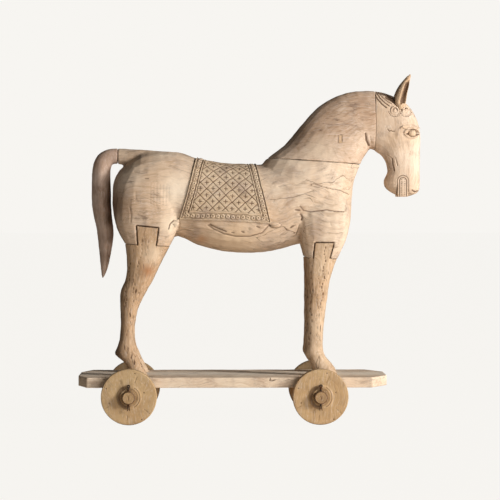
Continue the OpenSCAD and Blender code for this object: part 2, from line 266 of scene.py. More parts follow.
def engrave(obj, strokes, sides=(RIGHT, LEFT)):
    """Cuts lines into the sides of a carved piece and marks their bottoms as dark.

    A stroke is (points, width, depth, dark): points are (x, z) as seen from the side, all
    in millimetres, and dark is from 0 to 1. The mark is kept in the attribute GROOVE.
    """
    verts = obj.data.vertices
    places = [(v.co.x / MM, v.co.z / MM) for v in verts]
    normals = [v.normal.copy() for v in verts]
    cells = {}
    for i, (x, z) in enumerate(places):
        if any(normals[i].y * side > FACING for side in sides):
            cells.setdefault((cell(x), cell(z)), []).append(i)
    cut_depth, darkness = {}, {}
    for points, width, depth, dark in strokes:
        for (ax, az), (bx, bz) in zip(points, points[1:]):
            length = max(math.hypot(bx - ax, bz - az), 0.01)
            ux, uz = (bx - ax) / length, (bz - az) / length
            columns = range(cell(min(ax, bx) - width), cell(max(ax, bx) + width) + 1)
            rows = range(cell(min(az, bz) - width), cell(max(az, bz) + width) + 1)
            near = [i for column in columns for row in rows for i in cells.get((column, row), ())]
            for i in near:
                x, z = places[i]
                along = min(max((x - ax) * ux + (z - az) * uz, 0.0), length)
                off = math.hypot(x - ax - along * ux, z - az - along * uz)
                if off < width:
                    share = across_groove(off, width)
                    cut_depth[i] = max(cut_depth.get(i, 0.0), share * depth)
                    darkness[i] = max(darkness.get(i, 0.0), share * dark)
    line = obj.data.attributes.new(GROOVE, "FLOAT", "POINT")
    for i, depth in cut_depth.items():
        verts[i].co -= normals[i] * depth * MM
        line.data[i].value = darkness[i]
    return obj


def arc(x, z, radius, start, end, steps=12, tall=1.0):
    """Points of an arc in the side view. Angles are in degrees, 0 forwards and 90 up."""
    points = []
    for i in range(steps + 1):
        angle = math.radians(start + (end - start) * i / steps)
        points.append((x + radius * math.cos(angle), z + tall * radius * math.sin(angle)))
    return points


def beads(x, z, radius, start, end, count, width):
    """Small dark pricked dots along an arc."""
    half = 0.3
    return [
        ([(dot_x - half, dot_z), (dot_x + half, dot_z)], width, 1.0, 1.0)
        for dot_x, dot_z in arc(x, z, radius, start, end, count - 1)
    ]


def finish(obj, name, paint, body=HORSE, nodes=()):
    """Names a finished piece, gives it its wood, and puts it on its CAD body."""
    only(obj)
    obj.name = name
    obj.data.name = name
    obj.data.materials.clear()
    obj.data.materials.append(paint)
    bpy.ops.object.shade_smooth()
    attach(obj, body)
    if nodes:
        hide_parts(*nodes)
    return obj


# ---------------------------------------------------------------- wood and steel

class Paint:
    """One procedural material, put together node by node."""

    def __init__(self, name):
        self.material = bpy.data.materials.new(name)
        self.material.use_nodes = True
        self.tree = self.material.node_tree
        self.shader = self.tree.nodes["Principled BSDF"]

    def node(self, kind, inputs=None, **settings):
        """A new node with these inputs fed and these settings made."""
        node = self.tree.nodes.new(kind)
        for key, value in settings.items():
            setattr(node, key, value)
        for key, value in (inputs or {}).items():
            self.feed(node.inputs[key], value)
        return node

    def feed(self, socket, value):
        """Links an output to a socket, or sets the socket's own value."""
        if isinstance(value, bpy.types.NodeSocket):
            self.tree.links.new(value, socket)
        else:
            socket.default_value = value

    def sum(self, operation, first, second=0.0, third=0.0):
        """A sum in figures, such as MULTIPLY."""
        node = self.node("ShaderNodeMath", operation=operation)
        for socket, value in zip(node.inputs, (first, second, third)):
            self.feed(socket, value)
        return node.outputs[0]

    def place(self):
        """Where a point lies on the object, in metres."""
        return self.node("ShaderNodeTexCoord").outputs["Object"]

    def moved(self, vector, location=(0, 0, 0), turn=(0, 0, 0), scale=(1, 1, 1)):
        return self.node(
            "ShaderNodeMapping",
            {"Vector": vector, "Location": location, "Scale": scale,
             "Rotation": radians(turn)},
        ).outputs[0]

    def noise(self, vector, scale, detail=2.0, roughness=0.5, distortion=0.0):
        return self.node(
            "ShaderNodeTexNoise",
            {"Vector": vector, "Scale": scale, "Detail": detail, "Roughness": roughness,
             "Distortion": distortion},
        ).outputs["Fac"]

    def between(self, value, low, high, out_low=0.0, out_high=1.0):
        """Spreads low to high over out_low to out_high, and holds it there outside."""
        return self.node(
            "ShaderNodeMapRange",
            {"Value": value, "From Min": low, "From Max": high,
             "To Min": out_low, "To Max": out_high},
            interpolation_type="SMOOTHSTEP",
        ).outputs[0]

    def mix(self, amount, first, second):
        """The first colour, covered by so much of the second."""
        node = self.node("ShaderNodeMix", data_type="RGBA")
        self.feed(node.inputs["Factor"], amount)
        self.feed(node.inputs[6], first)
        self.feed(node.inputs[7], second)
        return node.outputs[2]

    def bump(self, height, distance, strength=1.0, below=None):
        inputs = {"Height": height, "Distance": distance * MM, "Strength": strength}
        if below is not None:
            inputs["Normal"] = below
        return self.node("ShaderNodeBump", inputs).outputs[0]


def colour(red, green, blue):
    """A colour as it looks on a screen, from 0 to 255, as the shader's linear light."""
    def linear(c):
        c /= 255
        return c / 12.92 if c <= 0.04045 else ((c + 0.055) / 1.055) ** 2.4
    return (linear(red), linear(green), linear(blue), 1.0)


PAPER = colour(247, 245, 241)
PALE = colour(225, 203, 178)
WARM = colour(214, 185, 155)
GREY = colour(182, 160, 142)
GRAIN = colour(158, 124, 92)
DARK = colour(84, 58, 38)
RUST = colour(168, 106, 58)
# the colour of painted shade, for sides that the lamps leave dark
SHADE = colour(70, 46, 30)
CHALK = (1, 0.95, 0.88, 1)      # the sheen of bare fibres
SWAY = (0.09, 0.09, 0.09)       # how far the grain wanders
SOOT_AND_SHADE_REACH = 10                 # millimetres, the width of a hollow that holds dirt and painted shade


def open_cracks(p, place, lengthways, swayed, cracks, pores):
    """Long wandering cracks and short open pores, each in patches."""
    noise = p.noise(p.moved(swayed, location=(0.3, 0.1, 0.2), scale=(0.05, 1, 1)), 26, 1.0)
    line = p.between(p.sum("ABSOLUTE", p.sum("SUBTRACT", noise, 0.5)), 0.0, 0.007, 1.0, 0.0)
    patch = p.between(p.noise(place, 13.0, 1.0), 0.5, 0.58)
    crack = p.sum("MULTIPLY", p.sum("MULTIPLY", line, patch), cracks)
    dash_noise = p.noise(p.moved(lengthways, scale=(0.13, 1, 1)), 290, 1.0)
    dash_patch = p.between(p.noise(place, 17.0, 2.0), 0.42, 0.6)
    dash = p.sum("MULTIPLY", p.between(dash_noise, 0.64, 0.7), dash_patch)
    return p.sum("MAXIMUM", crack, p.sum("MULTIPLY", dash, pores))


def glue_joint(p, place, cloud, height, centre, reach):
    """A level joint that shows along a stretch and is nearly closed beyond it."""
    spot = p.node("ShaderNodeSeparateXYZ", {0: place}).outputs
    level = p.sum("ABSOLUTE", p.sum("SUBTRACT", spot["Z"], height * MM))
    joint = p.sum("MULTIPLY", p.between(level, 0.0, 0.8 * MM, 0.6, 0.0),
                  p.between(cloud, 0.4, 0.55, 0.3, 1.0))
    off = p.sum("ABSOLUTE", p.sum("SUBTRACT", spot["X"], centre * MM))
    shown = p.between(off, 0.8 * reach * MM, reach * MM, 1.0, 0.08)
    return p.sum("MULTIPLY", joint, shown)


def stained_and_shaded(p, place, cloud, tone, stains_and_shading):
    """The tone with soft spots on it, on both sides alike: stains, and patches of painted light and
    shade.
    """
    axes = p.node("ShaderNodeSeparateXYZ", {0: place}).outputs
    mirrored = p.node(
        "ShaderNodeCombineXYZ",
        {"X": axes["X"], "Y": p.sum("ABSOLUTE", axes["Y"]), "Z": axes["Z"]},
    ).outputs[0]
    for x, y, z, radius, spot_tone in stains_and_shading:
        away = p.node(
            "ShaderNodeVectorMath", {0: mirrored, 1: metres((x, y, z))}, operation="DISTANCE",
        ).outputs["Value"]
        wavy = p.sum("MULTIPLY_ADD", cloud, 0.03, away)
        share = p.between(wavy, 0.2 * radius * MM, (radius + 12) * MM, 0.75, 0.0)
        tone = p.mix(share, tone, spot_tone)
    return tone


def shaded_and_sooted(p, tone, soot_and_shade):
    """The tone, darker in hollows and darkest in crevices: dirt and painted shade, from ambient
    occlusion.
    """
    hollow = p.node(
        "ShaderNodeAmbientOcclusion", {"Distance": SOOT_AND_SHADE_REACH * MM}, samples=6,
    ).outputs["AO"]
    shade = p.between(hollow, 0.3, 0.95, 0.7 * soot_and_shade, 0.0)
    tone = p.mix(shade, tone, p.mix(0.45, tone, DARK))
    return p.mix(p.between(hollow, 0.05, 0.5, 0.9 * soot_and_shade, 0.0), tone, DARK)


def wood(name, base=PALE, second=WARM, third=GREY, turn=(0, 0, 0), pith=(0, 60, -90),
         ring=7.0, grain=0.5, pores=0.0, cracks=0.5, smudge=0.4, soot_and_shade=1.0, stains_and_shading=(),
         relief=True, stretch=0.12, glue_line=None):
    """Bleached, worn wood whose grain runs along X unless it is turned.

    pith is where the middle of the log lay, ring the width of a year's growth, both in
    millimetres, and stretch how fast the rings change along the grain. grain, pores, cracks,
    smudge and the darkening of hollows, which is dirt and painted shade, say how strongly
    each shows. A stain, or a patch of painted light or shade, is (x, y, z, radius, colour).
    relief darkens the bottoms of engraved lines. glue_line is the height of a joint, the
    middle of the stretch where it shows, and half that stretch's length.
    """
    p = Paint(name)
    place = p.place()
    lengthways = p.moved(place, turn=turn)
    drift = p.node("ShaderNodeTexNoise", {"Vector": lengthways, "Scale": 6.0, "Detail": 3.0})
    swayed = p.node(
        "ShaderNodeVectorMath",
        {0: drift.outputs["Color"], 1: SWAY, 2: lengthways},
        operation="MULTIPLY_ADD",
    ).outputs[0]
    log = p.moved(swayed, location=metres(-c for c in pith), scale=(stretch, 1, 1))
    away = p.node("ShaderNodeVectorMath", {0: log}, operation="LENGTH").outputs["Value"]
    growth = p.sum("SINE", p.sum("MULTIPLY", away, 2 * math.pi / (ring * MM)))
    late_wood = p.between(growth, 0.3, 1.0)
    fibre = p.noise(p.moved(swayed, scale=(0.03, 1, 1)), 480, 3.0, 0.65)
    streak = p.noise(p.moved(swayed, scale=(0.05, 1, 1)), 110, 4.0, 0.6)
    patch = p.noise(place, 8.0, 3.0, 0.55)
    cloud = p.noise(place, 30.0, 4.0, 0.62)

    tone = p.mix(p.between(patch, 0.36, 0.62), base, second)
    tone = p.mix(p.between(cloud, 0.46, 0.72, 0.0, 0.7), tone, third)
    tone = p.mix(p.between(streak, 0.5, 0.76, 0.0, 0.75 * grain), tone, GRAIN)
    ring_share = p.sum("MULTIPLY", late_wood, p.between(streak, 0.35, 0.7, 0.05, 0.7 * grain))
    ring_share = p.sum("MULTIPLY", ring_share, p.between(patch, 0.35, 0.6, 0.35, 1.0))
    tone = p.mix(ring_share, tone, GRAIN)
    tone = p.mix(p.between(fibre, 0.5, 0.78, 0.0, 0.5 * grain), tone, GRAIN)
    tone = p.mix(p.between(fibre, 0.5, 0.3, 0.0, 0.22), tone, CHALK)

    rub = p.noise(p.moved(swayed, location=(0.7, 0.2, 0.4), scale=(0.3, 1, 1)), 75, 5.0, 0.72)
    rubbed = p.sum("MULTIPLY", p.between(rub, 0.52, 0.7), p.between(cloud, 0.4, 0.58))
    tone = p.mix(p.sum("MULTIPLY", rubbed, smudge), tone, DARK)

    crack = open_cracks(p, place, lengthways, swayed, cracks, pores)
    if glue_line:
        crack = p.sum("MAXIMUM", crack, glue_joint(p, place, cloud, *glue_line))
    tone = p.mix(crack, tone, DARK)
    # stains, and patches of painted light and shade
    if stains_and_shading:
        tone = stained_and_shaded(p, place, cloud, tone, stains_and_shading)
    # dirt and painted shade in hollows and crevices
    tone = shaded_and_sooted(p, tone, soot_and_shade)
    if relief:
        line = p.node("ShaderNodeAttribute", attribute_name=GROOVE).outputs["Fac"]
        tone = p.mix(p.between(line, 0.2, 0.9, 0.0, 0.85), tone, DARK)

    height = p.sum("ADD", p.sum("MULTIPLY", fibre, 0.6), p.sum("MULTIPLY", streak, 0.6))
    height = p.sum("SUBTRACT", height, p.sum("MULTIPLY", crack, 1.6))
    normal = p.bump(cloud, 1.4, 0.4)
    normal = p.bump(height, 0.6, 0.8, normal)
    p.feed(p.shader.inputs["Base Color"], tone)
    p.feed(p.shader.inputs["Roughness"], p.between(fibre, 0.3, 0.7, 0.62, 0.86))
    p.feed(p.shader.inputs["Normal"], normal)
    p.shader.inputs["Specular IOR Level"].default_value = 0.25
    return p.material


def old_steel(name):
    """Dark drawn wire with rust in patches."""
    p = Paint(name)
    place = p.place()
    patch = p.noise(place, 160, 4.0, 0.6)
    grit = p.noise(place, 900, 3.0, 0.6)
    rust = p.between(patch, 0.42, 0.6)
    p.feed(p.shader.inputs["Base Color"], p.mix(rust, colour(64, 54, 46), colour(92, 56, 32)))
    p.feed(p.shader.inputs["Roughness"], p.between(patch, 0.35, 0.65, 0.38, 0.85))
    p.feed(p.shader.inputs["Normal"], p.bump(grit, 0.15, 0.6))
    p.shader.inputs["Metallic"].default_value = 0.7
    return p.material


def painted_shade_and_light_spots(x, y, heights, radius, tone):
    """Painted light or shade of one tone, in spots one above another."""
    return [(x, y, z, radius, tone) for z in heights]


UPRIGHT = (0, 90, 0)
AXLE_PLACES = [middle(f"wheel_{end}_right") for end in ("rear", "front")]

BODY_WOOD = wood(
    "bleached_body_wood", pith=(0, 30, 395), ring=10, grain=0.45, cracks=0.8, smudge=0.55,
    # the first three: painted shade on the rump's left side, darker and browner, with mottled spots
    # in it
    stains_and_shading=[(-296, 50, 470, 76, colour(104, 64, 36)),
            (-258, 66, 505, 16, colour(172, 130, 96)),
            (-262, 68, 452, 20, colour(150, 108, 76)),
            (-158, 75, 505, 66, colour(252, 236, 212)),
            (-176, 66, 430, 50, colour(246, 228, 202)),
            (-40, 60, 385, 90, colour(232, 202, 166)),
            (-110, 50, 395, 26, colour(200, 140, 92)),
            (84, 66, 548, 26, colour(150, 120, 98)),
            (112, 66, 462, 22, colour(176, 136, 100))],
    glue_line=(489, -190, 46),
)
NECK_WOOD = wood(
    "bleached_neck_wood", base=colour(214, 190, 166), second=colour(194, 164, 138),
    pith=(190, 20, 640), ring=8, grain=0.75, stretch=0.5, smudge=0.6,
    # the first two: painted shade along the crest of the neck
    stains_and_shading=[(92, 30, 636, 60, colour(104, 80, 60)),
            (176, 20, 712, 36, colour(134, 108, 88)),
            (246, 30, 700, 26, colour(176, 146, 122)),
            (150, 50, 594, 50, colour(226, 204, 178))],
)
HEAD_WOOD = wood(
    "bleached_head_wood", base=colour(228, 206, 183), turn=UPRIGHT, pith=(-600, 0, 250),
    # the dark spot behind the ear is a painted shadow
    ring=8, grain=0.4, cracks=0.25, stains_and_shading=[(308, 12, 708, 24, colour(84, 56, 40))],
)
LEG_WOOD = wood(
    "old_leg_wood", base=colour(216, 188, 156), second=colour(202, 168, 132),
    third=colour(172, 142, 112), turn=UPRIGHT, pith=(-250, 10, -200), ring=7,
    grain=0.75, pores=0.85, cracks=0.6,
    stains_and_shading=[(-224, 70, 330, 30, RUST), (-210, 75, 366, 42, colour(238, 214, 184)),
            # painted shade down the left sides of the legs
            *painted_shade_and_light_spots(112, 58, range(165, 341, 35), 33, SHADE),
            *painted_shade_and_light_spots(-290, 60, (150, 190, 230, 270, 305), 38, SHADE)],
)
TAIL_WOOD = wood(
    "grey_tail_wood", base=colour(200, 172, 152), second=colour(180, 150, 130),
    third=colour(158, 134, 118), turn=UPRIGHT, pith=(-450, 30, -300), ring=8,
    grain=0.6, pores=0.2, relief=False,
    # painted shade on the tail's right, where the rump shadows it, and painted light on its left
    stains_and_shading=[*painted_shade_and_light_spots(-308, 12, range(360, 521, 40), 30, SHADE),
            *painted_shade_and_light_spots(-350, 12, range(330, 531, 50), 40, colour(232, 212, 198))],
)
BOARD_WOOD = wood(
    "weathered_board_wood", base=colour(243, 223, 197), second=colour(232, 208, 181),
    third=colour(196, 172, 150), pith=(0, 30, -40), ring=6, grain=0.5, cracks=0.9,
    soot_and_shade=0.25, relief=False,
    # painted light: the top of the board made lighter along its length
    stains_and_shading=[(x, 0, 118, 80, colour(255, 246, 230)) for x in range(-350, 320, 60)],
)
WHEEL_WOOD = wood(
    "tan_wheel_wood", base=colour(208, 178, 134), second=colour(196, 162, 118),
    third=colour(176, 146, 108), turn=UPRIGHT, pith=(0, 90, 400), ring=9,
    grain=0.4, pores=0.1, cracks=0.2,
    # painted shade on the upper inner faces of the wheels, beside the board
    stains_and_shading=[(place.x + x, 80, 108, 55, SHADE) for place in AXLE_PLACES for x in (-28, 0, 28)],
)
AXLE_WOOD = wood(
    "tan_axle_wood", base=colour(192, 160, 116), second=colour(176, 142, 98),
    third=colour(140, 112, 84), turn=(0, 0, 90), pith=(0, 0, 60), ring=4,
    grain=0.9, cracks=0.6,
)
EAR_WOOD = wood(
    "bleached_ear_wood", base=colour(216, 188, 156), second=colour(200, 168, 134),
    third=colour(166, 132, 100), turn=UPRIGHT, pith=(-700, 0, 340), ring=6,
)
CLOTH_WOOD = wood(
    "carved_cloth_wood", base=colour(222, 200, 172), second=colour(210, 184, 152),
    pith=(0, 30, 395), ring=9, grain=0.4, cracks=0.3,
)
EYE_WOOD = wood("pale_eye_wood", base=colour(226, 206, 176), turn=UPRIGHT, cracks=0.0, relief=False)
DOWEL_WOOD = wood("dowel_wood", base=colour(198, 166, 124), turn=UPRIGHT, relief=False)
WIRE = old_steel("dark_wire")


# ---------------------------------------------------------------- the head

EYE_X, EYE_Z = 354, 630
CURLS = ((316, 680), (341, 680))
FRAME_X = 335
FRAME_FOOT, FRAME_SPRING = 491, 525     # heights of the mouth tablet's foot and of its arch
FRAME_WIDTH, FRAME_THICK = 24, 5.5


def eye(skin, side):
    """Two lids that meet at the corners, and the brow above them."""
    x, y, z = skin.at(EYE_X, EYE_Z, side, 0.5)
    turn = (90, 0, skin.facing(EYE_X, EYE_Z, side))
    upper = saw(hoop((x, y, z - 9), 20, 2.6, turn), z + 1, DOWN)
    lower = saw(hoop((x, y, z + 9), 19.5, 2.2, turn), z - 1, UP)
    brow = saw(hoop((x - 4, y, z - 24), 41, 2.4, turn, segments=64), z + 11, DOWN)
    return [upper, lower, brow]


def eye_socket(skin, side):
    turn = skin.facing(EYE_X, EYE_Z, side)
    return ball(skin.at(EYE_X, EYE_Z, side), (15, 3.2, 8.5), turn=(0, 0, turn))


def curls(skin, side):
    """Two curls of the forelock, each a boss inside a ring."""
    parts = []
    for x, z in CURLS:
        turn = (90, 0, skin.facing(x, z, side))
        parts.append(ball(skin.at(x, z, side, 0.8), (4.0, 2.6, 4.0)))
        parts.append(hoop(skin.at(x, z, side, 0.9), 7.8, 1.8, turn, segments=28))
    return parts


def mouth_frame(skin, side):
    """A raised tablet with an arched top at the mouth."""
    height = FRAME_SPRING - FRAME_FOOT
    x, y, z = skin.at(FRAME_X, FRAME_FOOT + height / 2, side, 1.2)
    return [
        block((x, y, z), (FRAME_WIDTH, FRAME_THICK, height), bevel=0.8),
        disc((x, y, FRAME_SPRING), FRAME_WIDTH / 2, FRAME_THICK),
    ]


def scoop(skin, start, end, side, width, depth):
    """A long egg along a straight line of the side view, (x, z) to (x, z), on the skin."""
    first = Vector(skin.at(*start, side))
    last = Vector(skin.at(*end, side))
    along = (last - first).normalized()
    across = (Vector((0, 1, 0)) - along * along.y).normalized()
    tool = ball((0, 0, 0), (width, depth, (last - first).length / 2))
    turn = Matrix((across.cross(along), across, along)).transposed()
    tool.matrix_world = Matrix.Translation((first + last) / 2 * MM) @ turn.to_4x4()
    return settle(tool)


def head_strokes():
    """The carved lines of the head: forelock, curls, eyes, cheeks, nostrils and mouth."""
    strokes = [
        # locks of the forelock and the shadow beneath them
        ([(271, 719), (278, 706), (287, 695), (297, 686)], 1.8, 1.6, 1.0),
        ([(277, 719), (284, 708), (293, 698), (304, 690)], 1.6, 1.4, 1.0),
        ([(283, 718), (290, 710), (299, 701), (309, 695)], 1.5, 1.2, 0.9),
        ([(279, 721), (300, 715), (317, 703)], 4.2, 1.6, 1.0),
        ([(299, 709), (309, 704), (318, 697)], 5.5, 1.2, 1.0),
        # lids, their fold, the corners of the eye, and the brow
        ([(331, 642), (339, 638), (345, 637), (354, 638.5), (364, 637), (373, 629)],
         1.3, 0.7, 0.75),
        ([(341, 627), (346, 621.5), (355, 619.5), (365, 621), (373, 628)], 1.1, 0.5, 0.5),
        ([(336, 645), (346, 647), (358, 646), (369, 641)], 1.2, 0.6, 0.45),
        ([(342, 628), (346, 629)], 2.4, 1.0, 1.0),
        ([(364, 627), (370, 627)], 2.2, 0.8, 0.9),
        ([(334, 652), (346, 654), (359, 654)], 1.1, 0.5, 0.3),
        # nicks behind the eye
        ([(300, 639), (304, 634), (308, 636)], 1.6, 1.0, 0.9),
        ([(309, 634), (315, 634)], 1.6, 1.0, 0.8),
        ([(296, 645), (306, 647)], 1.2, 0.6, 0.4),
        # cheek and mouth
        ([(311, 574), (313, 562), (316, 548)], 2.0, 1.6, 0.9),
        ([(318, 577), (321, 566), (323, 559)], 1.5, 1.0, 0.7),
        ([(303, 560), (308, 552)], 1.5, 0.9, 0.5),
        ([(356, 505), (362, 501), (369, 503)], 2.2, 1.6, 1.0),
        ([(300, 583), (307, 578), (311, 574)], 1.3, 0.8, 0.5),
    ]
    for x, z in CURLS:
        strokes.append((arc(x, z, 5.0, 0, 360, 20), 1.0, 0.6, 0.55))
        strokes.append((arc(x, z, 10.4, 150, 390, 20), 1.1, 0.8, 0.6))
        strokes += beads(x, z, 13.6, 195, 345, 10, 1.7)
    for reach, width, dark in ((12.6, 1.3, 0.9), (8.0, 1.3, 1.0)):
        left, right = FRAME_X - reach, FRAME_X + reach
        arch = arc(FRAME_X, FRAME_SPRING, reach, 180, 0, 14)
        line = [(left, FRAME_FOOT), *arch, (right, FRAME_FOOT)]
        strokes.append((line, width, 0.9, dark))
    for i in range(9):
        z = FRAME_FOOT + 4 + 4.2 * i
        strokes.append(([(FRAME_X - 4.4, z), (FRAME_X - 2.8, z)], 1.1, 0.7, 0.9))
        strokes.append(([(FRAME_X + 3.2, z), (FRAME_X + 4.6, z)], 1.1, 0.7, 0.9))
    return strokes


def carved_head():
    head = copy_of_node("head", "head_block")
    skin = Surface(head)
    cut(head, *[eye_socket(skin, side) for side in SIDES.values()])
    added = []
    for side in SIDES.values():
        added += eye(skin, side) + curls(skin, side) + mouth_frame(skin, side)
    head = join(head, *added)
    carve(head, grid=1.0, rounding=2, wander=0.8, gouges=0.35)
    engrave(head, head_strokes())
    finish(head, "carved_head", HEAD_WOOD, nodes=("head",))
    for word, side in SIDES.items():
        eyeball = ball(skin.at(EYE_X, EYE_Z, side, 2.6), (8.6, 6.4, 7.4),
                       turn=(0, 0, skin.facing(EYE_X, EYE_Z, side)), segments=32)
        finish(eyeball, f"eyeball_{word}", EYE_WOOD)


# ---------------------------------------------------------------- the trunk and the neck

def carved_neck():
    neck = copy_of_node("neck", "neck_block")
    carve(neck, grid=2.0, rounding=2, wander=1.6, gouges=0.9)
    engrave(neck, [
        ([(252, 629), (254, 615), (260, 603)], 3.0, 2.4, 1.0),
        ([(262, 622), (266, 608)], 2.4, 1.2, 0.5),
        ([(191, 609), (190, 624), (198, 625), (198, 615)], 1.7, 0.9, 0.65),
        ([(156, 652), (180, 648), (205, 650), (232, 646)], 1.9, 0.9, 0.6),
        ([(140, 640), (165, 632), (196, 633)], 1.9, 0.8, 0.45),
        ([(120, 612), (150, 606), (186, 596)], 1.9, 0.8, 0.4),
        ([(168, 682), (196, 676), (228, 668), (262, 664)], 1.9, 0.8, 0.45),
        ([(186, 698), (220, 690), (256, 688)], 1.9, 0.8, 0.4),
    ])
    finish(neck, "carved_neck", NECK_WOOD, nodes=("neck",))


# Outlines of the legs' tongues where they are let into the trunk
REAR_LAP = [(-245.5, 385), (-248, 428), (-200, 423), (-205.5, 384)]
FRONT_LAP = [(135.5, 356), (139, 391), (181, 391), (171.5, 357)]

# Middles of two carved bosses
TASSEL = (53, 429)
LEAF = (-166, 430)


def trunk_strokes():
    """The carved lines of the trunk: swag, tassel, leaf, laps, scratches and longer cracks."""
    swag = [(-93, 429), (-80, 420), (-58, 409.5), (-32, 404), (-2, 404), (24, 411.5), (38, 427)]
    strokes = [
        # swag, with dark chips along it
        (swag, 2.3, 1.4, 0.75),
        ([(-89, 431), (-74, 423), (-54, 415)], 2.4, 1.5, 1.0),
        ([(-20, 415), (-15, 413)], 2.4, 1.2, 1.0),
        ([(13, 426), (19, 424)], 2.2, 1.2, 1.0),
        ([(-6, 421), (0, 420)], 2.0, 1.0, 0.6),
        ([(-42, 413), (-36, 412)], 2.0, 1.0, 0.8),
        # tassel and leaf
        (arc(*TASSEL, 13.5, 0, 360, 20, tall=0.52), 2.0, 1.2, 0.6),
        ([(39, 430), (42, 427)], 2.6, 1.4, 1.0),
        ([(-178, 420), (-175, 431), (-167, 439)], 2.0, 1.4, 1.0),
        ([(-165, 439), (-154, 434), (-156, 420)], 2.0, 1.0, 0.6),
        ([(-168, 431), (-164, 424)], 1.9, 1.0, 0.7),
        # long cracks of the chest and shoulder
        ([(107, 470), (115, 460), (130, 458), (149, 460), (165, 462), (182, 459), (203, 458)],
         2.0, 1.4, 0.95),
        ([(42, 484), (68, 487), (90, 489), (113, 496), (136, 504)], 1.9, 1.2, 0.7),
        ([(120, 527), (136, 522), (149, 514), (172, 509), (195, 505), (216, 496)], 2.0, 1.2, 0.8),
        ([(117, 515), (156, 516), (188, 512)], 1.8, 1.0, 0.4),
        ([(60, 513), (84, 518), (100, 516), (119, 526)], 1.8, 1.0, 0.5),
        # chips and short splits, chest first and rump last
        ([(108, 453), (112, 446), (110, 440)], 3.0, 1.6, 1.0),
        ([(97, 462), (106, 461)], 2.6, 1.2, 0.9),
        ([(106, 430), (103, 418), (99, 408)], 2.0, 1.2, 0.8),
        ([(165, 449), (173, 447)], 2.0, 0.8, 0.5),
        ([(172, 436), (174, 428)], 2.0, 0.8, 0.5),
        ([(40, 462), (64, 459), (92, 462)], 1.8, 0.8, 0.4),
        ([(44, 449), (70, 447), (96, 449)], 1.8, 0.8, 0.35),
        ([(-254, 545), (-238, 541), (-226, 543)], 2.0, 1.0, 0.5),
        ([(-229, 530), (-222, 530)], 2.4, 1.0, 0.7),
        ([(-262, 470), (-259, 452), (-260, 436)], 2.0, 1.0, 0.6),
        ([(-250, 500), (-248, 478)], 1.9, 0.9, 0.5),
    ]
    for lap in (REAR_LAP, FRONT_LAP):
        strokes.append((lap, 1.9, 1.2, 0.9))
    for i in range(7):
        x = -216 + 6.5 * i
        strokes.append(([(x, 523 - 2 * i), (x - 1, 476 - 3 * (i % 3))], 1.8, 0.45, 0.45))
    return strokes


def carved_trunk():
    """The two glued blocks are one carved skin. Their glue line is left to the wood."""
    lower = copy_of_node("body_lower", "lower_block")
    skin = Surface(lower)
    glue_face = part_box("body_lower")[1][2]
    overlap = 3 * MM
    for vertex in lower.data.vertices:
        if vertex.co.z > glue_face - 0.1 * MM:
            vertex.co.z += overlap
    upper = copy_of_node("body_upper", "upper_block")
    trimmings = []
    for side in SIDES.values():
        trimmings.append(ball(skin.at(*TASSEL, side, 0.5), (13, 4.5, 6.5)))
        trimmings.append(ball(skin.at(*LEAF, side, 0.5), (13, 3.8, 7.5), turn=(0, -42, 0)))
    trunk = join(lower, upper, *trimmings)
    carve(trunk, grid=2.25, rounding=2, wander=1.6, gouges=0.9)
    engrave(trunk, trunk_strokes())
    return finish(trunk, "carved_trunk", BODY_WOOD,
                  nodes=("body_upper", "body_lower"))


# ---------------------------------------------------------------- the carved saddle cloth

CLOTH_ROWS = 400
CLOTH_COLUMNS = 200
HEM_Z, HEM_BACK_Z = 432, 441            # heights of the hem's front and back corners
TOP_BACK, TOP_FRONT = -118, 12          # the cloth's length along the crown of the back
HEM_BACK, HEM_FRONT = -150, 39          # and along its hem
CLOTH_HEART_Z = 478                     # height that the net's rays fan out from
CLOTH_REACH = 122                       # degrees from the crown to below the hem
CLOTH_HEM_TURN = 104                    # degrees from the crown to the hem itself
CLOTH_THICK = 2.6
CLOTH_TUCK = 4.0                        # how deep its edges are let into the back

# Where each band of the border ends, measured from the edge of the cloth
RIM, RIM_LINE, RING_BAND, INNER_LINE, INNER_RIM, LATTICE_LINE = 3.2, 4.8, 15.2, 16.8, 19.4, 20.8
RING_ROW, RING_STEP, RING_EYE, RING_RADIUS = 10.0, 10.9, 1.3, 4.4
LATTICE_STEP = 28.0


def ring_row(run, off):
    """A row of raised rings with pricked eyes. off is measured from the middle of the row."""
    r = math.hypot(run % RING_STEP - RING_STEP / 2, off)
    if r < RING_EYE:
        return -0.6, 0.85
    if r < RING_RADIUS:
        return 0.9 * math.sin(math.pi * (r - RING_EYE) / (RING_RADIUS - RING_EYE)), 0.0
    return -0.7, 0.5


def lattice(along, hem):
    """Slanting lines that cross, with a small cross and a dot in each diamond."""
    first = (along + hem) % LATTICE_STEP
    second = (along - hem) % LATTICE_STEP
    line_width, cross_width, cross_reach, dot_radius = 1.8, 1.6, 4.6, 1.9
    line = max(across_groove(min(first, LATTICE_STEP - first), line_width),
               across_groove(min(second, LATTICE_STEP - second), line_width))
    x = (first + second - LATTICE_STEP) / 2
    z = (first - second) / 2
    cross = max(across_groove(abs(x), cross_width) if abs(z) < cross_reach else 0.0,
                across_groove(abs(z), cross_width) if abs(x) < cross_reach else 0.0)
    dot = across_groove(math.hypot(x, z), dot_radius)
    return 0.25 - 0.9 * line - 0.6 * cross - 0.5 * dot, max(line, 0.85 * cross, dot)


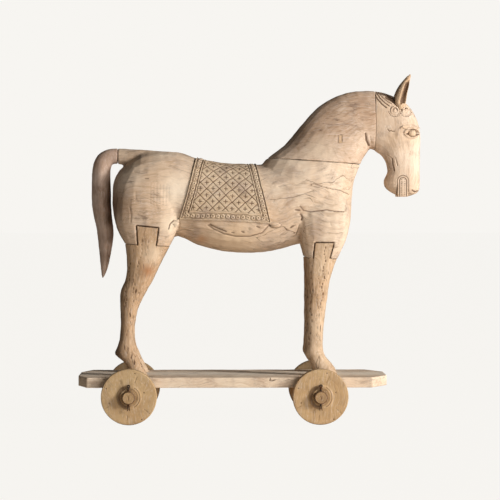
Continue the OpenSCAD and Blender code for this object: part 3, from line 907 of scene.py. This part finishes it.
def cloth_pattern(along, hem, width):
    """Height in millimetres and darkness of the carving at a point of the cloth.

    along is measured from the middle of the cloth, hem from the nearer hem, and width is
    the length of the cloth's row.
    """
    side = width / 2 - abs(along)
    edge = min(side, hem)
    upright = side < hem
    if edge < RIM:
        return 0.6, 0.0
    if edge < RIM_LINE:
        return -0.9, 0.9 if upright else 0.4
    if edge < RING_BAND:
        return ring_row(along if hem < side else hem, edge - RING_ROW)
    if edge < INNER_LINE:
        return -0.9, 1.0 if upright else 0.55
    if edge < INNER_RIM:
        return 0.5, 0.0
    if edge < LATTICE_LINE:
        return -0.8, 0.9 if upright else 0.35
    return lattice(along, hem)


def cloth_column(tree, share):
    """Points of the trunk's skin under one lengthwise share of the cloth, hem to hem."""
    low = HEM_Z + (HEM_BACK_Z - HEM_Z) * (1 - share)
    path = []
    for step in range(-CLOTH_REACH, CLOTH_REACH + 1):
        lean = (abs(step) / CLOTH_HEM_TURN) ** 1.3
        back = TOP_BACK + (HEM_BACK - TOP_BACK) * lean
        front = TOP_FRONT + (HEM_FRONT - TOP_FRONT) * lean
        x = back + (front - back) * share
        angle = math.radians(step)
        ray = Vector((0, math.sin(angle), math.cos(angle)))
        hit = tree.ray_cast(Vector(metres((x, 0, CLOTH_HEART_Z))), ray)[0]
        if hit and (hit.z > low * MM or abs(step) < 90):
            path.append(hit)
    return path


def spread(path, count):
    """The path's points drawn out again at equal steps, and its length."""
    run = [0.0]
    for a, b in zip(path, path[1:]):
        run.append(run[-1] + (b - a).length)
    points = []
    k = 0
    for j in range(count):
        goal = run[-1] * j / (count - 1)
        while k < len(run) - 2 and run[k + 1] < goal:
            k += 1
        part = (goal - run[k]) / max(run[k + 1] - run[k], 1e-9)
        points.append(path[k].lerp(path[k + 1], min(part, 1.0)))
    return points, run[-1] / MM


def saddle_cloth(trunk):
    """A net is drawn tight over the back, from hem to hem, then carved."""
    tree = BVHTree.FromObject(trunk, bpy.context.evaluated_depsgraph_get())
    fresh()
    bpy.ops.mesh.primitive_grid_add(x_subdivisions=CLOTH_COLUMNS, y_subdivisions=CLOTH_ROWS)
    cloth = named("saddle_cloth")
    verts = cloth.data.vertices
    columns, rows = CLOTH_COLUMNS + 1, CLOTH_ROWS + 1
    lengths = []
    for i in range(columns):
        points, length = spread(cloth_column(tree, i / CLOTH_COLUMNS), rows)
        lengths.append(length)
        for j in range(rows):
            verts[j * columns + i].co = points[j]
    modify(cloth, "SMOOTH", factor=0.5, iterations=4)
    with editing(cloth):
        bpy.ops.mesh.normals_make_consistent(inside=False)
    crown = verts[(rows // 2) * columns + columns // 2]
    if crown.normal.z < 0:
        with editing(cloth):
            bpy.ops.mesh.flip_normals()
    base = [v.co.copy() for v in verts]
    out = [v.normal.copy() for v in verts]
    line = cloth.data.attributes.new(GROOVE, "FLOAT", "POINT")
    for j in range(rows):
        width = (base[j * columns + columns - 1].x - base[j * columns].x) / MM
        for i in range(columns):
            k = j * columns + i
            if i in (0, columns - 1) or j in (0, rows - 1):
                lift, dark = -CLOTH_TUCK, 1.0
            else:
                hem = min(j, CLOTH_ROWS - j) / CLOTH_ROWS * lengths[i]
                along = (i / CLOTH_COLUMNS - 0.5) * width
                height, dark = cloth_pattern(along, hem, width)
                lift = CLOTH_THICK + height
            verts[k].co = base[k] + out[k] * lift * MM
            line.data[k].value = dark
    finish(cloth, "saddle_cloth", CLOTH_WOOD)


# ---------------------------------------------------------------- legs, tail and ears

def pore_column(start, end, count, dark):
    """Short dark slits one under another, some wide and some fine, along a leg."""
    marks = []
    for i in range(count):
        share = i / (count - 1)
        x = start[0] + (end[0] - start[0]) * share + 2.4 * math.sin(5.1 * i)
        z = start[1] + (end[1] - start[1]) * share
        half = 1.5 + math.sin(2.3 * i)
        width = 1.5 + 0.5 * math.sin(3.7 * i)
        marks.append(([(x, z - half), (x, z + half)], width, 1.0, dark))
    return marks


def carved_legs():
    front = (pore_column((162, 380), (154, 250), 19, 1.0)
             + pore_column((150, 330), (143, 205), 15, 0.7)
             + pore_column((133, 340), (130, 180), 13, 0.8)
             + pore_column((126, 300), (124, 170), 10, 0.7)
             + [(FRONT_LAP, 1.9, 1.0, 0.9)])
    rear = (pore_column((-232, 405), (-246, 330), 9, 0.6)
            + pore_column((-262, 345), (-275, 250), 12, 0.8)
            + pore_column((-252, 300), (-268, 190), 13, 0.7)
            + [(REAR_LAP, 1.9, 1.0, 0.9)])
    for node in ("leg_rear_right", "leg_rear_left", "leg_front_right", "leg_front_left"):
        leg = copy_of_node(node, node + "_block")
        carve(leg, grid=1.5, rounding=1, wander=1.2, gouges=1.0)
        engrave(leg, front if "front" in node else rear)
        finish(leg, "carved_" + node, LEG_WOOD, nodes=(node,))


def carved_tail():
    tail = copy_of_node("tail", "tail_block")
    carve(tail, grid=1.6, rounding=2, wander=1.0, gouges=0.7)
    finish(tail, "carved_tail", TAIL_WOOD, nodes=("tail",))


def carved_ears():
    for word, side in SIDES.items():
        ear = copy_of_node("ear_" + word, "ear_block")
        cut(ear, scoop(Surface(ear), (327, 692), (347.5, 747), side, 6.3, 8.0))
        carve(ear, grid=0.9, rounding=1, wander=0.4, gouges=0.3)
        shaded_hollow = ([(333, 700), (338, 717), (344, 738)], 7.0, 0.0, 1.0)
        engrave(ear, [shaded_hollow], sides=(side,))
        finish(ear, "carved_ear_" + word, EAR_WOOD, nodes=("ear_" + word,))


# ---------------------------------------------------------------- board, axles and wheels

def board():
    plank = copy_of_node("base_board", "plank_block")
    carve(plank, grid=2.0, rounding=5, wander=0.8, gouges=0.4)
    finish(plank, "worn_board", BOARD_WOOD, nodes=("base_board",))


def axles():
    """Each journal's end has a dark worn edge and a split across its heart."""
    for word in ("front", "rear"):
        node = word + "_axle"
        beam = copy_of_node(node, node + "_block")
        carve(beam, grid=1.1, rounding=2, wander=0.0, gouges=0.25)
        x, _, z = middle(f"wheel_{word}_right")
        engrave(beam, [
            (arc(x, z, 13.2, 0, 360, 30), 1.8, 0.0, 0.9),
            (arc(x, z, 8, 20, 330, 20), 1.2, 0.2, 0.35),
            ([(x - 1, z + 4), (x + 0.5, z), (x - 0.5, z - 5)], 1.2, 0.8, 0.9),
        ])
        finish(beam, "worn_" + node, AXLE_WOOD, nodes=(node,))


def wheel_strokes(x, z):
    """Grease and painted shade round the axle, the axle's shadow painted to its left, a worn ring,
    turning lines, nail holes and short splits.
    """
    strokes = [
        # a dark ring round the axle: grease, and painted shade in the gap
        (arc(x, z, 16, 0, 360, 30), 4.5, 0.5, 1.0),
        # the axle's shadow, painted on the wheel to the left of the axle
        (arc(x, z, 22, 95, 265, 20), 7.0, 0.0, 0.75),
        (arc(x, z, 29, 130, 230, 14), 5.0, 0.0, 0.35),
        (arc(x, z, 24, -60, 60, 16), 1.6, 0.8, 0.8),
        (arc(x, z, 57, 0, 360, 50), 1.3, 0.3, 0.35),
        (arc(x, z, 43, 30, 110, 16), 1.3, 0.3, 0.25),
    ]
    for radius, angle in ((44, 196), (52, 158), (34, 17), (53, 75), (55, -60)):
        strokes.append((arc(x, z, radius, angle, angle + 1, 1), 1.8, 1.0, 1.0))
    for angle, inner, outer in ((-38, 42, 56), (68, 33, 47), (205, 48, 58), (-95, 40, 50)):
        turn = math.radians(angle)
        strokes.append((
            [(x + r * math.cos(turn), z + r * math.sin(turn)) for r in (inner, outer)],
            1.3, 0.8, 0.55))
    return strokes


def wheels():
    for node in ("wheel_front_right", "wheel_front_left", "wheel_rear_right", "wheel_rear_left"):
        wheel = copy_of_node(node, node + "_block")
        carve(wheel, grid=1.2, rounding=3, wander=0.8, gouges=0.3)
        x, _, z = middle(node)
        engrave(wheel, wheel_strokes(x, z))
        finish(wheel, "turned_" + node, WHEEL_WOOD, body=node, nodes=(node,))


def small_pieces():
    """Nodes whose CAD shape is right keep it, and get their material."""
    kept = {
        "axle_washers": AXLE_WOOD, "split_pins": WIRE, "axle_screws": WIRE, "hoof_screws": WIRE,
        "hoof_dowels": DOWEL_WOOD, "neck_dowels": DOWEL_WOOD, "head_dowels": DOWEL_WOOD,
        "tail_dowel": DOWEL_WOOD, "neck_plug": LEG_WOOD,
    }
    for node, paint in kept.items():
        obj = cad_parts[node]
        for slot in obj.material_slots:
            slot.material = paint


# ---------------------------------------------------------------- floor, light and camera

LAMPS = {     # place in metres, width of the disc and power
    "key": ((3.2, -1.8, 1.5), 0.9, 136),
    "fill": ((1.7, -3.3, 0.15), 1.8, 70),
}
LAMP_AIM = (0, 0, 0.4)
LAMP_TINT = (1.0, 0.98, 0.96)
FLOOR_TINT = (0.90, 0.80, 0.70, 1)
VEIL = 0.985                              # how much of the floor is plain to the camera
BACKDROP_SEEN, BACKDROP_CAST = 1.0, 0.09
CAMERA_PLACE = (-0.078, -4.11, 0.468)
CAMERA_DIP, CAMERA_TURN = 1.32, -1.08     # degrees


def ground():
    """A pale floor. What the camera sees of it is brighter than the light it gives back."""
    fresh()
    bpy.ops.mesh.primitive_plane_add(size=60, location=(0, 0, 0))
    floor = named("floor")
    p = Paint("pale_floor")
    p.shader.inputs["Base Color"].default_value = FLOOR_TINT
    p.shader.inputs["Roughness"].default_value = 0.95
    p.shader.inputs["Specular IOR Level"].default_value = 0.0
    seen = p.node("ShaderNodeLightPath").outputs["Is Camera Ray"]
    glow = p.node("ShaderNodeEmission", {"Color": PAPER, "Strength": 1.0}).outputs[0]
    veil = p.node("ShaderNodeMixShader", {0: p.sum("MULTIPLY", seen, VEIL)})
    p.feed(veil.inputs[1], p.shader.outputs[0])
    p.feed(veil.inputs[2], glow)
    p.feed(p.tree.nodes["Material Output"].inputs["Surface"], veil.outputs[0])
    floor.data.materials.append(p.material)


def backdrop():
    """A pale world, much dimmer as a light than it looks."""
    world = bpy.data.worlds.new("studio")
    world.use_nodes = True
    tree = world.node_tree
    background = tree.nodes["Background"]
    background.inputs["Color"].default_value = PAPER
    path = tree.nodes.new("ShaderNodeLightPath")
    strength = tree.nodes.new("ShaderNodeMapRange")
    tree.links.new(path.outputs["Is Camera Ray"], strength.inputs["Value"])
    strength.inputs["To Min"].default_value = BACKDROP_CAST
    strength.inputs["To Max"].default_value = BACKDROP_SEEN
    tree.links.new(strength.outputs[0], background.inputs["Strength"])
    bpy.context.scene.world = world


def lamps():
    """A high lamp before the horse and a low one at its right, both aimed at its belly."""
    for name, (place, width, power) in LAMPS.items():
        data = bpy.data.lights.new(name, "AREA")
        data.shape = "DISK"
        data.size = width
        data.energy = power
        data.color = LAMP_TINT
        obj = bpy.data.objects.new(name, data)
        bpy.context.collection.objects.link(obj)
        obj.location = place
        away = Vector(LAMP_AIM) - Vector(place)
        obj.rotation_euler = away.to_track_quat("-Z", "Y").to_euler()


def camera():
    """Level with the trunk, far off at the right, and turned a little to the front."""
    data = bpy.data.cameras.new("camera")
    data.sensor_width = 36
    data.lens = 134
    data.clip_end = 100
    obj = bpy.data.objects.new("camera", data)
    bpy.context.collection.objects.link(obj)
    obj.location = CAMERA_PLACE
    obj.rotation_euler = radians((90 - CAMERA_DIP, 0, CAMERA_TURN))
    bpy.context.scene.camera = obj


bpy.context.scene.view_settings.view_transform = "Standard"
carved_head()
carved_neck()
saddle_cloth(carved_trunk())
carved_legs()
carved_tail()
carved_ears()
board()
axles()
wheels()
small_pieces()
ground()
backdrop()
lamps()
camera()
